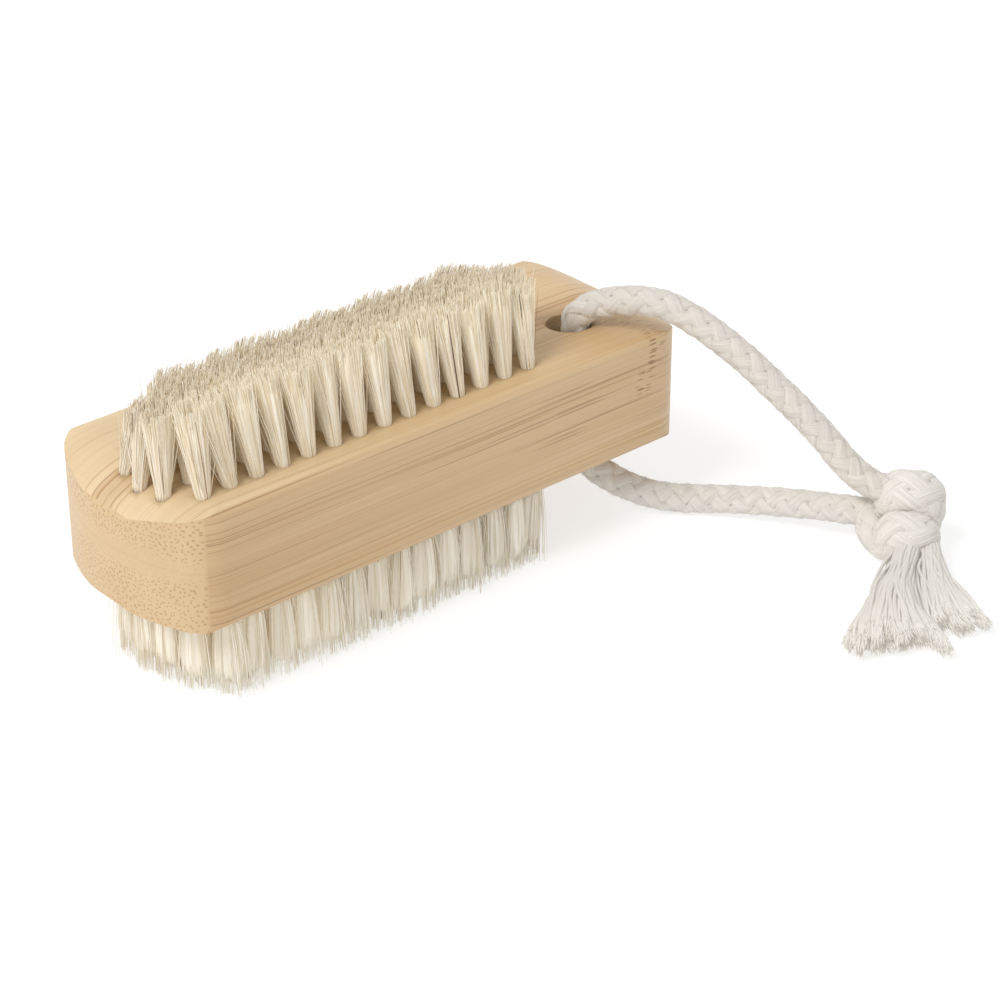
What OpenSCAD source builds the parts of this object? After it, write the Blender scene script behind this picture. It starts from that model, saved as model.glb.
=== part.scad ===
// Double-sided nail brush: two glued bamboo plies, a field of bristle tufts on each side
// and a knotted carrying cord through one end.
// The part stands on its lower bristles. X is its length with the cord at the positive end.

/* [Block] */

// Length of the block from end to end
block_l = 98; // [70:0.5:130]

// Width of the block
block_w = 34; // [30:0.5:60]

// Height of one ply, and the block is two of them
ply_h = 9.35; // [6:0.05:14]

// Radius of the curved ends seen from above
end_r = 31.4; // [24:0.2:60]

// Radius of the four upright corners
corner_r = 6; // [2:0.5:9]

// Rounding of the long edges
edge_r = 1.3; // [0.6:0.1:3]

// How far back the upper end rounding starts
round_l = 9.5; // [6:0.5:14]

// How far down the upper end rounding reaches
round_h = 5.2; // [4:0.1:7]

// Tighter radius where the upper rounding meets the end
round_tip = 3.4; // [2:0.1:3.8]

/* [Bristles] */

// Free length of the bristles above the block
upper_bristle = 13.3; // [8:0.1:25]

// Free length of the bristles under the block
lower_bristle = 13; // [8:0.1:25]

// Distance between the rows on top
upper_row_pitch = 4.5; // [4.3:0.05:4.8]

// Distance from the long sides to the outermost rows underneath
lower_edge = 4.2; // [3.6:0.1:5.2]

// Smallest distance between the tufts of a row on top
upper_pitch = 4.4; // [4.3:0.1:7]

// Smallest distance between the tufts of a row underneath
lower_pitch = 4.35; // [4.25:0.05:7]

// How much the upper tips differ in length
uneven = 1.2; // [0:0.1:3]

/* [Cord] */

// Diameter of the bore that the cord goes through
bore_d = 7; // [6:0.1:9]

// Distance of the bore's axis from the cord end of the block
bore_from_end = 15.9; // [13:0.1:22]

// Distance of the bore's axis from the near side
bore_from_side = 12.4; // [8:0.1:17]

// Diameter of the cord
cord_d = 4.7; // [3:0.1:5]

/* [Hidden] */

$fn = 48;
eps = 0.5;

block_h = 2 * ply_h;
block_top = lower_bristle + block_h;
seam_z = lower_bristle + ply_h;

// Plan outline: centres of the end arcs and of the corner arcs
end_x = block_l / 2 - end_r;
corner_y = block_w / 2 - corner_r;
corner_x = end_x + sqrt(pow(end_r - corner_r, 2) - pow(corner_y, 2));

// Side outline: the flatter arc of the upper rounding, tangent to the top and to the tighter arc
flat_r = (pow(round_l - round_tip, 2) + pow(round_h, 2) - pow(round_tip, 2))
    / (2 * (round_h - round_tip));
flat_x = block_l / 2 - round_l;
tip_x = block_l / 2 - round_tip;

// Rounding of the lower edge at the plain end and at the cord end
plain_foot_r = 0.6;
cord_foot_r = 2.2;

// Backing slices: width and depth of the drilled strip that holds one row of tufts
slice_w = 3.2;
slice_h = 3;
slice_end = 1.9;

// Bore for the cord: distances from the cord end and from the near side
bore_x = block_l / 2 - bore_from_end;
bore_y = bore_from_side - block_w / 2;
bore_r = bore_d / 2;
rim = 0.6;

// Upper tuft rows, near side first: gap from the plain end and gap to the bore's axis
upper_edge = 5.1;
upper_start = [8.5, 5.1, 4.4, 5.4, 8.8];
upper_stop = [14.8, 12.8, 12.1, 12.7, 14.8];
upper_rows = len(upper_start);

// How far the tips of each upper row lean towards the middle of the field and lie lower for it,
// and how far the first and last tufts of a row lean outwards
upper_lean = [3.4, 1.2, -0.9, -3, -5.2];
upper_drop = [0, 0, 0, 0.4, 1];
upper_spray = 1.2;

// Lower tuft rows, near side first: the same gaps
lower_start = [10.5, 8, 6.5, 5.8, 6.5, 9.2, 12.4];
lower_stop = [14.4, 11.9, 10.4, 9.7, 10.4, 11.9, 14.4];
lower_rows = len(lower_start);

// Strands of one tuft: distance between them at the root and at the tip, then half sizes
upper_strands = 3;
upper_spread = [0.8, 1.36];
upper_root = [0.36, 0.8];
upper_tip = [0.62, 0.72];
upper_sway = 0.3;
lower_strands = 2;
lower_spread = [1.3, 2.1];
lower_root = [0.6, 0.9];
lower_tip = [0.9, 1.45];
lower_sway = 0.35;
root_depth = 1.5;

// Flat metal anchors that pin each tuft into the wood
anchor_w = 2.4;
anchor_t = 0.4;
anchor_h = 2;

// Cord: it lies against the wall of the bore on the side of the knot
cord_r = cord_d / 2;
cord_lean = (bore_r - cord_r) * [0.54, -0.84, 0];
tube_sides = 10;

// Level direction square to both strands of the loop
cord_side = [0.85, 0.53, 0];

// Routes of the cord to the knot, over the block and under it: distances from the bore's axis,
// and heights over the ground for the drawn height of each mouth
upper_drawn = 31.7;
upper_points = [
    [0.9, -1.5, 33],
    [1.8, -2.9, 34.5],
    [3.4, -5.4, 35.7],
    [5.1, -8.2, 36.4],
    [6.9, -11.1, 36.6],
    [8.5, -13.6, 36],
    [10.5, -17, 34.3],
    [12.6, -20.4, 31.8],
    [14.8, -23.8, 28.8],
    [16.9, -27.2, 25.4],
    [19, -30.6, 21.9],
    [21.1, -34, 18],
    [22.9, -37, 14.2],
    [24.5, -39.6, 11.8],
    [26.6, -42.2, 10.2]
];
lower_drawn = 13;
lower_points = [
    [0.8, -1.3, 11.4],
    [1.1, -1.9, 9.6],
    [1.9, -3.2, 7.9],
    [3.2, -5, 6.3],
    [5.1, -7.4, 4.7],
    [7.6, -10.2, 3.4],
    [10.5, -12.9, 2.6],
    [13.7, -16, 2.5],
    [17.3, -20.8, 3],
    [20.5, -26.6, 3.8],
    [22.9, -32, 4.6],
    [24.7, -36.6, 5.2],
    [26.9, -41, 5.6]
];

// Knot: two wraps on an axis that leans and turns towards the frayed ends, and a filled middle
knot_at = [27.9, -45.8, 0];
knot_r = 3;
knot_cord_r = 2.7;
knot_step = 6.2;
knot_core_r = 4.4;
knot_lean = 49;
knot_turn = 40;
knot_rise = knot_step / 2 * cos(knot_lean) + knot_r * sin(knot_lean) + knot_cord_r;

// Crossing strand beside the wraps
lobe_at = [23.6, -43.9];
lobe_l = 3.4;
lobe_turn = 16;

// Frayed ends: middle line from the bore's axis, half width and half height of each bundle
left_points = [[24.5, -46.6, 4.2], [22.5, -48.6, 3.7], [16.9, -52.3, 3.6], [11.7, -56.1, 3.1],
    [6.8, -60.8, 2.5], [3.2, -65.4, 2.1]];
left_half_w = [1.8, 2.1, 2.4, 3.5, 6.2, 7.4];
right_points = [[27.3, -49.4, 4.2], [26.1, -51.6, 3.7], [22, -56.5, 3.6], [19.2, -61.1, 3],
    [17, -65.4, 2.4], [15.7, -68.3, 2]];
right_half_w = [1.8, 1.8, 2.1, 3.3, 4.2, 4.9];
fray_half_h = [1.9, 2, 2.2, 2.2, 2, 1.7];

// Names of the pieces

// A repeatable scatter between 0 and 1
function scatter(a, b, c) = 0.5 + 0.5 * sin(137 * a + 71 * b + 223 * c + 19 * a * b);

// Rows: ends of their first and last tufts, number of tufts, and place across the width
function row_from(starts, row) = starts[row] - block_l / 2;
function row_to(stops, row) = bore_x - stops[row];
function tufts(from, to, pitch) = 1 + floor((to - from) / pitch);
function along(from, to, count, i) = from + (to - from) * i / (count - 1);
function upper_y(row) = upper_edge - block_w / 2 + row * upper_row_pitch;
function lower_y(row) = (block_w / 2 - lower_edge) * (2 * row / (lower_rows - 1) - 1);

// The four corners of a strand at one height
function corners(at, half) = [
    at + [-half[0], -half[1], 0],
    at + [half[0], -half[1], 0],
    at + [half[0], half[1], 0],
    at + [-half[0], half[1], 0]
];

// The triangles of strand number k: four sides, the low end and the high end
function strand_faces(k) = [
    for (f = [
        [0, 1, 5], [0, 5, 4], [1, 2, 6], [1, 6, 5], [2, 3, 7], [2, 7, 6],
        [3, 0, 4], [3, 4, 7], [0, 3, 2], [0, 2, 1], [4, 5, 6], [4, 6, 7]
    ])
        [8 * k + f[2], 8 * k + f[1], 8 * k + f[0]]
];

// Solid plan of the block: straight sides, curved ends and rounded corners
module plan() {
    square([2 * corner_x, block_w], center = true);
    for (side = [-1, 1]) {
        intersection() {
            translate([side * end_x, 0])
                circle(end_r);
            polygon([
                [side * end_x, 0],
                [side * (2 * corner_x - end_x), 2 * corner_y],
                [side * (2 * corner_x - end_x), -2 * corner_y]
            ]);
        }
        for (hand = [-1, 1])
            translate([side * corner_x, hand * corner_y])
                circle(corner_r);
    }
}

// Side view of the block, with the two-arc rounding on the upper ends
module side_view() {
    translate([-block_l / 2 + plain_foot_r, 0])
        square([block_l - plain_foot_r - cord_foot_r, block_h - round_h]);
    translate([-block_l / 2, plain_foot_r])
        square([block_l / 2, block_h - round_h - plain_foot_r]);
    translate([0, cord_foot_r])
        square([block_l / 2, block_h - round_h - cord_foot_r]);
    translate([-block_l / 2 + plain_foot_r, plain_foot_r])
        circle(plain_foot_r);
    translate([block_l / 2 - cord_foot_r, cord_foot_r])
        circle(cord_foot_r);
    translate([-flat_x, 0])
        square([2 * flat_x, block_h]);
    for (side = [-1, 1]) {
        translate([side * tip_x, block_h - round_h])
            circle(round_tip);
        intersection() {
            translate([side * flat_x, block_h - flat_r])
                circle(flat_r);
            polygon([
                [side * flat_x, block_h - flat_r],
                [side * flat_x, block_h + flat_r],
                [side * (3 * tip_x - 2 * flat_x), block_h + 2 * flat_r - 3 * round_h]
            ]);
        }
    }
}

// End view of the block, with its rounded long edges
module end_view() {
    translate([-block_w / 2 + edge_r, 0])
        square([block_w - 2 * edge_r, block_h]);
    translate([-block_w / 2, edge_r])
        square([block_w, block_h - 2 * edge_r]);
    for (side = [-1, 1], z = [edge_r, block_h - edge_r])
        translate([side * (block_w / 2 - edge_r), z])
            circle(edge_r);
}

// The whole block without its cuts
module block() {
    translate([0, 0, lower_bristle])
        intersection() {
            linear_extrude(block_h)
                plan();
            rotate([90, 0, 0])
                linear_extrude(block_w, center = true)
                    side_view();
            rotate([90, 0, 90])
                linear_extrude(block_l, center = true)
                    end_view();
        }
}

// The place of one row's backing slice in the block, top or bottom
module slice_box(from, to, y, z) {
    translate([from - slice_end, y - slice_w / 2, z])
        cube([to - from + 2 * slice_end, slice_w, slice_h + eps]);
}

module upper_slot(row) {
    slice_box(row_from(upper_start, row), row_to(upper_stop, row), upper_y(row),
        block_top - slice_h);
}

module lower_slot(row) {
    slice_box(row_from(lower_start, row), row_to(lower_stop, row), lower_y(row),
        lower_bristle - eps);
}

// The bore with a small bevel at its open mouth
module bore(mouth_z, up) {
    translate([bore_x, bore_y, seam_z])
        cylinder(h = 2 * (ply_h + eps), r = bore_r, center = true);
    translate([bore_x, bore_y, mouth_z])
        mirror([0, 0, up ? 0 : 1])
            translate([0, 0, -rim])
                cylinder(h = 2 * rim, r1 = bore_r, r2 = bore_r + 2 * rim);
}

module upper_ply() {
    color("BurlyWood")
        difference() {
            intersection() {
                block();
                translate([-block_l / 2, -block_w / 2, seam_z])
                    cube([block_l, block_w, ply_h]);
            }
            for (row = [0 : upper_rows - 1])
                upper_slot(row);
            bore(block_top, true);
        }
}

module lower_ply() {
    color("BurlyWood")
        difference() {
            intersection() {
                block();
                translate([-block_l / 2, -block_w / 2, lower_bristle])
                    cube([block_l, block_w, ply_h]);
            }
            for (row = [0 : lower_rows - 1])
                lower_slot(row);
            bore(lower_bristle, false);
        }
}

// A row of upper tufts: it leans to the middle and its tips are uneven
module upper_strands_of(row) {
    from = row_from(upper_start, row);
    to = row_to(upper_stop, row);
    count = tufts(from, to, upper_pitch);
    points = [
        for (i = [0 : count - 1], k = [0 : upper_strands - 1])
            let (
                x = along(from, to, count, i),
                y = upper_y(row),
                turn = k - (upper_strands - 1) / 2,
                spray = upper_spray * pow(2 * i / (count - 1) - 1, 5),
                sway = upper_lean[row] + upper_sway * (2 * scatter(i, k, row) - 1),
                drop = upper_drop[row] + uneven * scatter(i + 1, row, k),
                tip = [x + spray + turn * upper_spread[1], y + sway, block_top + upper_bristle - drop]
            )
                each concat(
                    corners([x + turn * upper_spread[0], y, block_top - root_depth], upper_root),
                    corners(tip, upper_tip)
                )
    ];
    polyhedron(points, [for (k = [0 : count * upper_strands - 1]) each strand_faces(k)]);
}

// A row of lower tufts, trimmed level where the part stands on them
module lower_strands_of(row) {
    from = row_from(lower_start, row);
    to = row_to(lower_stop, row);
    count = tufts(from, to, lower_pitch);
    points = [
        for (i = [0 : count - 1], k = [0 : lower_strands - 1])
            let (
                x = along(from, to, count, i),
                y = lower_y(row),
                turn = k - (lower_strands - 1) / 2,
                sway = lower_sway * (2 * scatter(i, k, row) - 1)
            )
                each concat(
                    corners([x + turn * lower_spread[1], y + sway, 0], lower_tip),
                    corners([x + turn * lower_spread[0], y, lower_bristle + root_depth],
                        lower_root)
                )
    ];
    polyhedron(points, [for (k = [0 : count * lower_strands - 1]) each strand_faces(k)]);
}

module upper_row(row) {
    color("Ivory") {
        intersection() {
            block();
            upper_slot(row);
        }
        upper_strands_of(row);
    }
}

module lower_row(row) {
    color("Ivory") {
        intersection() {
            block();
            lower_slot(row);
        }
        lower_strands_of(row);
    }
}

// Anchors of one row, right behind its backing slice
module anchors(from, to, pitch, y, z) {
    count = tufts(from, to, pitch);
    for (i = [0 : count - 1])
        translate([along(from, to, count, i) - anchor_w / 2, y - anchor_t / 2, z])
            cube([anchor_w, anchor_t, anchor_h]);
}

module upper_anchors() {
    color("Silver")
        for (row = [0 : upper_rows - 1])
            anchors(row_from(upper_start, row), row_to(upper_stop, row), upper_pitch,
                upper_y(row), block_top - slice_h - anchor_h);
}

module lower_anchors() {
    color("Silver")
        for (row = [0 : lower_rows - 1])
            anchors(row_from(lower_start, row), row_to(lower_stop, row), lower_pitch,
                lower_y(row), lower_bristle + slice_h);
}

// A tube swept along a route: rings square to the route, with the wide axis square to flat too
function unit(v) = v / norm(v);
function heading(route, i) = i == 0 ? unit(route[1] - route[0])
    : i == len(route) - 1 ? unit(route[i] - route[i - 1]) : unit(route[i + 1] - route[i - 1]);
function ring(at, dir, flat, wide, high) = let (
        across = unit(cross(dir, flat)),
        other = cross(dir, across)
    ) [
        for (k = [0 : tube_sides - 1])
            at + wide * cos(360 * k / tube_sides) * across
                + high * sin(360 * k / tube_sides) * other
    ];
function ring_at(route, dirs, flat, wide, high) = [
    for (i = [0 : len(route) - 1]) each ring(route[i], dirs[i], flat, wide[i], high[i])
];
function tube_faces(rings) = concat(
    [for (i = [0 : rings - 2], k = [0 : tube_sides - 1])
        each let (
            a = i * tube_sides + k,
            b = i * tube_sides + (k + 1) % tube_sides
        ) [[a, a + tube_sides, b], [b, a + tube_sides, b + tube_sides]]],
    [for (k = [1 : tube_sides - 2]) [0, k, k + 1]],
    [for (k = [1 : tube_sides - 2])
        [(rings - 1) * tube_sides, (rings - 1) * tube_sides + k + 1,
            (rings - 1) * tube_sides + k]]
);

// A route from a mouth of the bore: it follows the mouth's height, less and less along its way
function from_mouth(points, mouth_z, drawn) = concat(
    [[bore_x, bore_y, mouth_z] + cord_lean],
    [for (i = [0 : len(points) - 1])
        points[i] + [bore_x, bore_y, (mouth_z - drawn) * (1 - (i + 1) / len(points))]]
);

// The cord leaves the bore straight, so its first ring lies flat on the mouth
module cord(route, first) {
    same = [for (p = route) cord_r];
    dirs = [for (i = [0 : len(route) - 1]) i == 0 ? first : heading(route, i)];
    color("Linen")
        polyhedron(ring_at(route, dirs, cord_side, same, same), tube_faces(len(route)));
}

module cord_upper() {
    cord(from_mouth(upper_points, block_top, upper_drawn), [0, 0, 1]);
}

module cord_lower() {
    cord(from_mouth(lower_points, lower_bristle, lower_drawn), [0, 0, -1]);
}

module cord_bore() {
    color("Linen")
        translate([bore_x, bore_y, lower_bristle] + cord_lean)
            cylinder(h = block_h, r = cord_r);
}

module wrap(around, thick) {
    rotate_extrude()
        translate([around, 0])
            circle(thick);
}

module knot() {
    color("Linen")
        translate([bore_x, bore_y, 0]) {
            translate(knot_at + [0, 0, knot_rise])
                rotate([0, knot_lean, knot_turn]) {
                    cylinder(h = knot_step, r = knot_core_r, center = true);
                    cylinder(h = knot_step + knot_cord_r, r = knot_r, center = true);
                    for (side = [-1, 1])
                        translate([0, 0, side * knot_step / 2])
                            wrap(knot_r, knot_cord_r);
                }
            translate([lobe_at[0], lobe_at[1], knot_cord_r])
                rotate([90, 0, lobe_turn]) {
                    cylinder(h = lobe_l, r = knot_cord_r, center = true);
                    for (side = [-1, 1])
                        translate([0, 0, side * lobe_l / 2])
                            sphere(knot_cord_r);
                }
        }
}

module fray(points, half_w) {
    route = [for (p = points) p + [bore_x, bore_y, 0]];
    dirs = [for (i = [0 : len(route) - 1]) heading(route, i)];
    color("Linen")
        polyhedron(ring_at(route, dirs, [0, 0, 1], half_w, fray_half_h), tube_faces(len(route)));
}

module fray_left() {
    fray(left_points, left_half_w);
}

module fray_right() {
    fray(right_points, right_half_w);
}

module upper_row_1() { upper_row(0); }
module upper_row_2() { upper_row(1); }
module upper_row_3() { upper_row(2); }
module upper_row_4() { upper_row(3); }
module upper_row_5() { upper_row(4); }
module lower_row_1() { lower_row(0); }
module lower_row_2() { lower_row(1); }
module lower_row_3() { lower_row(2); }
module lower_row_4() { lower_row(3); }
module lower_row_5() { lower_row(4); }
module lower_row_6() { lower_row(5); }
module lower_row_7() { lower_row(6); }

lower_ply();
upper_ply();
upper_row_1();
upper_row_2();
upper_row_3();
upper_row_4();
upper_row_5();
lower_row_1();
lower_row_2();
lower_row_3();
lower_row_4();
lower_row_5();
lower_row_6();
lower_row_7();
upper_anchors();
lower_anchors();
cord_bore();
cord_upper();
cord_lower();
knot();
fray_left();
fray_right();
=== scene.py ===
import functools
import math

import bpy
import numpy as np
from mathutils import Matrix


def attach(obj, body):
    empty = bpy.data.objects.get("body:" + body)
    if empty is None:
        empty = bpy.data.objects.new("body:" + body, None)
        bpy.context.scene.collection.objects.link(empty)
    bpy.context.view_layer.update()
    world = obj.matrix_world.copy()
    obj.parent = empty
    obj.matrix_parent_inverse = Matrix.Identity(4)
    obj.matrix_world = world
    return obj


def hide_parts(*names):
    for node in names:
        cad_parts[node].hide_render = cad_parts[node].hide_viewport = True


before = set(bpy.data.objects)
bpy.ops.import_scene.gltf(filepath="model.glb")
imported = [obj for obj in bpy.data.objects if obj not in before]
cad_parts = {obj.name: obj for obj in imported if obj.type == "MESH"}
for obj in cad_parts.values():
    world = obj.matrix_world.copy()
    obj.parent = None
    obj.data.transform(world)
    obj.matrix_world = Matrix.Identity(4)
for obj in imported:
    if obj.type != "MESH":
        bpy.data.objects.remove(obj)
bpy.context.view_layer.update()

MM = 0.001
rng = np.random.default_rng(20)
scene = bpy.context.scene

# The camera, fitted to the photograph
cam_data = bpy.data.cameras.new("camera")
cam_data.lens = 105.71
cam_data.sensor_width = 36.0
cam_data.clip_start = 0.01
cam_data.clip_end = 20.0
cam = bpy.data.objects.new("camera", cam_data)
cam.location = (-0.23868, -0.29869, 0.22646)
cam.rotation_euler = (math.radians(60.56), 0.0, math.radians(-41.26))
scene.collection.objects.link(cam)
scene.camera = cam

# Sizes shared with the CAD, in mm. The block goes from BASE to TOP.
BLOCK_L, BLOCK_W = 98.0, 34.0
BASE, TOP = 13.0, 31.7
# rounding of the upper ends: its length and depth, its tighter radius and its flatter one
ROUND_L, ROUND_H, ROUND_TIP = 9.5, 5.2, 3.4
FLAT_R = ((ROUND_L - ROUND_TIP) ** 2 + ROUND_H**2 - ROUND_TIP**2) / (2 * (ROUND_H - ROUND_TIP))
# drilled strip of a row: its width, and how far it goes past its first and last tuft
SLICE_W, SLICE_END = 3.2, 1.9
# rows, near side first: number of tufts, place of the first and the last, place across the block
UP_COUNT = [14, 15, 15, 15, 14]
UP_FROM = [-40.5, -43.9, -44.6, -43.6, -40.2]
UP_TO = [18.3, 20.3, 21.0, 20.4, 18.3]
UP_Y = [-11.9 + 4.5 * r for r in range(5)]
UP_TIP_Y = [-8.5, -6.2, -3.8, -1.4, 0.9]
UP_TIP_Z = [44.8, 44.9, 44.9, 44.7, 44.3]
LOW_COUNT = [14, 15, 15, 16, 15, 15, 13]
LOW_FROM = [-38.5, -41.0, -42.5, -43.2, -42.5, -39.8, -36.6]
LOW_TO = [18.7, 21.2, 22.7, 23.4, 22.7, 21.2, 18.7]
LOW_Y = [(r - 3) * 12.8 / 3 for r in range(7)]


# Mesh helpers. All lengths are in mm until make_mesh.
def make_mesh(name, verts, quads, smooth=True, attrs=None):
    """A mesh object from arrays in mm. attrs maps a name to one value, or one vector, a point."""
    me = bpy.data.meshes.new(name)
    verts = np.asarray(verts, np.float32) * MM
    quads = np.asarray(quads, np.int32)
    me.vertices.add(len(verts))
    me.vertices.foreach_set("co", verts.ravel())
    me.loops.add(quads.size)
    me.loops.foreach_set("vertex_index", quads.ravel())
    me.polygons.add(len(quads))
    me.polygons.foreach_set("loop_start", np.arange(0, quads.size, 4, dtype=np.int32))
    me.update(calc_edges=True)
    me.polygons.foreach_set("use_smooth", np.full(len(quads), smooth))
    for key, values in (attrs or {}).items():
        values = np.asarray(values, np.float32)
        if values.ndim == 1:
            me.attributes.new(key, "FLOAT", "POINT").data.foreach_set("value", values)
        else:
            me.attributes.new(key, "FLOAT_VECTOR", "POINT").data.foreach_set("vector", values.ravel())
    me.validate()
    o = bpy.data.objects.new(name, me)
    scene.collection.objects.link(o)
    return o


def unit(v):
    """Vectors scaled to length 1."""
    return v / np.linalg.norm(v, axis=-1, keepdims=True)


def circle(n):
    """n angles round one turn."""
    return np.arange(n) * 2 * np.pi / n


def tube_grid(centres, across, up, sides):
    """Rings of points: centres (n, m, 3), half axes across and up (n, m, 3)."""
    a = circle(sides)
    return (
        centres[:, :, None]
        + across[:, :, None] * np.cos(a)[None, None, :, None]
        + up[:, :, None] * np.sin(a)[None, None, :, None]
    )


def one_tube(centres, across, up, sides):
    """The points of a single tube, ring after ring."""
    return tube_grid(centres[None], across[None], up[None], sides)[0].reshape(-1, 3)


def thin_tubes(centres, across, up, radii):
    """The points of four-sided tubes: one pair of directions a tube, one radius a ring."""
    r = radii[None, :, None]
    a, b = (np.broadcast_to(v[:, None], centres.shape) * r for v in (across, up))
    return tube_grid(centres, a, b, 4).reshape(-1, 3)


def tube_quads(n, m, sides):
    """Side faces of n tubes of m rings each."""
    t, r, s = np.meshgrid(np.arange(n), np.arange(m - 1), np.arange(sides), indexing="ij")
    nxt = (s + 1) % sides
    base = t * m * sides
    a, b = base + r * sides + s, base + r * sides + nxt
    c, d = base + (r + 1) * sides + nxt, base + (r + 1) * sides + s
    return np.stack([a, b, c, d], -1).reshape(-1, 4)


def cap_quads(n, m):
    """Flat ends of n four-sided tubes of m rings each."""
    low = np.arange(n) * m * 4
    end = low + (m - 1) * 4
    return np.concatenate([
        np.stack([low + 3, low + 2, low + 1, low], -1), np.stack([end, end + 1, end + 2, end + 3], -1)])


def point_vectors(x, y, z):
    """One vector a point from three arrays that fit each other's shape."""
    return np.stack(np.broadcast_arrays(x, y, z), -1).reshape(-1, 3)


def run_along(line):
    """Length of the line up to each of its points."""
    return np.concatenate([[0], np.cumsum(np.linalg.norm(np.diff(line, axis=0), axis=1))])


def smooth_route(points, step):
    """Points along a Catmull-Rom curve through the route, about step apart, and its length."""
    p = np.asarray(points, float)
    q = np.vstack([2 * p[0] - p[1], p, 2 * p[-1] - p[-2]])
    pieces = 24
    out = []
    for i in range(len(p) - 1):
        a, b, c, d = q[i : i + 4]
        for t in np.linspace(0, 1, pieces, endpoint=False):
            bend, twist = 2 * a - 5 * b + 4 * c - d, 3 * b - a - 3 * c + d
            out.append(0.5 * (2 * b + (c - a) * t + bend * t**2 + twist * t**3))
    out = np.array(out + [p[-1]])
    run = run_along(out)
    n = max(2, int(round(run[-1] / step)) + 1)
    at = np.linspace(0, run[-1], n)
    return np.stack([np.interp(at, run, out[:, k]) for k in range(3)], -1), run[-1]


LOOP_SIDE = (0.85, 0.53, 0.0)  # level direction square to the cord's loop


def frames_along(line):
    """Tangent and two normals that turn as little as possible along the line."""
    t = unit(np.gradient(line, axis=0))
    n = np.zeros_like(t)
    v = np.array(LOOP_SIDE, float)
    for i in range(len(t)):
        v = v - np.dot(v, t[i]) * t[i]
        v /= np.linalg.norm(v)
        n[i] = v
    return t, n, np.cross(t, n)


# The cord's braid, in shares of OUTER, its half width: path of a strand, how far it weaves in and
# out, its half width and half thickness, each with a small change along the way
STRANDS, OUTER = 8, 2.25
PATH_R, WEAVE = 1.56, 0.14
STRAND_W, STRAND_W_VARY = 1.08, 0.06
STRAND_H, STRAND_H_VARY = 0.58, 0.04
CORE_SHARE = 0.62
FIBRE_STEP = 9.0  # mm along a strand that the fibre pattern is stretched over


def braid(line, width, height, turn_mm=14.5, phase=0.0, sides=10, frames=None):
    """An eight-strand braid: half width along the line's first normal, half height along the second."""
    _, n, b = frames_along(line) if frames is None else frames
    s = run_along(line)
    w = 2 * np.pi / turn_mm
    ratio = height / width
    size = width / OUTER
    half = STRANDS // 2
    ang = circle(sides)
    verts, fib = [], []
    for k in range(STRANDS):
        hand = 1 if k < half else -1
        theta = hand * w * s + (k % half) * np.pi / 2 + (0 if k < half else np.pi / 4) + phase
        cos, sin = np.cos(theta)[:, None], np.sin(theta)[:, None]
        rad = size * (PATH_R + WEAVE * hand * np.cos(4 * w * s - np.pi / 2))
        centre = line + rad[:, None] * (cos * n + ratio * sin * b)
        tan = unit(np.gradient(centre, axis=0))
        out = cos * n * ratio + sin * b
        out = unit(out - np.sum(out * tan, 1)[:, None] * tan)
        wide = size * (STRAND_W + STRAND_W_VARY * np.sin(s * 2.1 + k * 1.7))
        thick = size * (STRAND_H + STRAND_H_VARY * np.sin(s * 1.3 + k * 2.9))
        verts.append(one_tube(centre, np.cross(tan, out) * wide[:, None], out * thick[:, None], sides))
        fib.append(point_vectors(
            np.cos(ang)[None, :] + k * 7.3, np.sin(ang)[None, :] * 0.6, (s / FIBRE_STEP)[:, None] + k * 3.1))
    verts.append(one_tube(line, n * width * CORE_SHARE, b * height * CORE_SHARE, sides))
    fib.append(np.zeros_like(verts[-1]))
    return np.concatenate(verts), tube_quads(STRANDS + 1, len(line), sides), np.concatenate(fib)


FUZZ_FROM, FUZZ_LONG, FUZZ_R = 2.1, 2.2, 0.035  # distance from the cord's middle, length and radius
FUZZ_PER_MM = 5


def fuzz(line, count):
    """Loose fibres that stand off a cord."""
    t, n, b = frames_along(line)
    i = rng.integers(1, len(line) - 1, count)
    a = rng.uniform(0, 2 * np.pi, count)
    er = np.cos(a)[:, None] * n[i] + np.sin(a)[:, None] * b[i]
    start = line[i] + er * FUZZ_FROM * 0.9
    lean = unit(er * rng.uniform(0.15, 0.5, count)[:, None] + t[i] * rng.choice([-1, 1], count)[:, None])
    long = FUZZ_LONG * rng.uniform(0.4, 1.0, count)
    rings = 4
    u = np.linspace(0, 1, rings)
    curl = np.cross(lean, er) * rng.normal(0, 0.35, count)[:, None]
    straight = lean[:, None] * (long[:, None] * u)[:, :, None]
    c = start[:, None] + straight + curl[:, None] * (long[:, None] * u**2)[:, :, None]
    side = unit(np.cross(lean, er))
    return thin_tubes(c, side, er, FUZZ_R * (1 - 0.6 * u)), tube_quads(count, rings, 4)


def join(parts):
    """Joins lists of points, quads and, where there are any, fibre coordinates."""
    verts, quads, fib, n = [], [], [], 0
    for p in parts:
        verts.append(p[0])
        quads.append(p[1] + n)
        fib.append(p[2] if len(p) > 2 else np.zeros_like(p[0]))
        n += len(p[0])
    return np.concatenate(verts), np.concatenate(quads), np.concatenate(fib)


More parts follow.
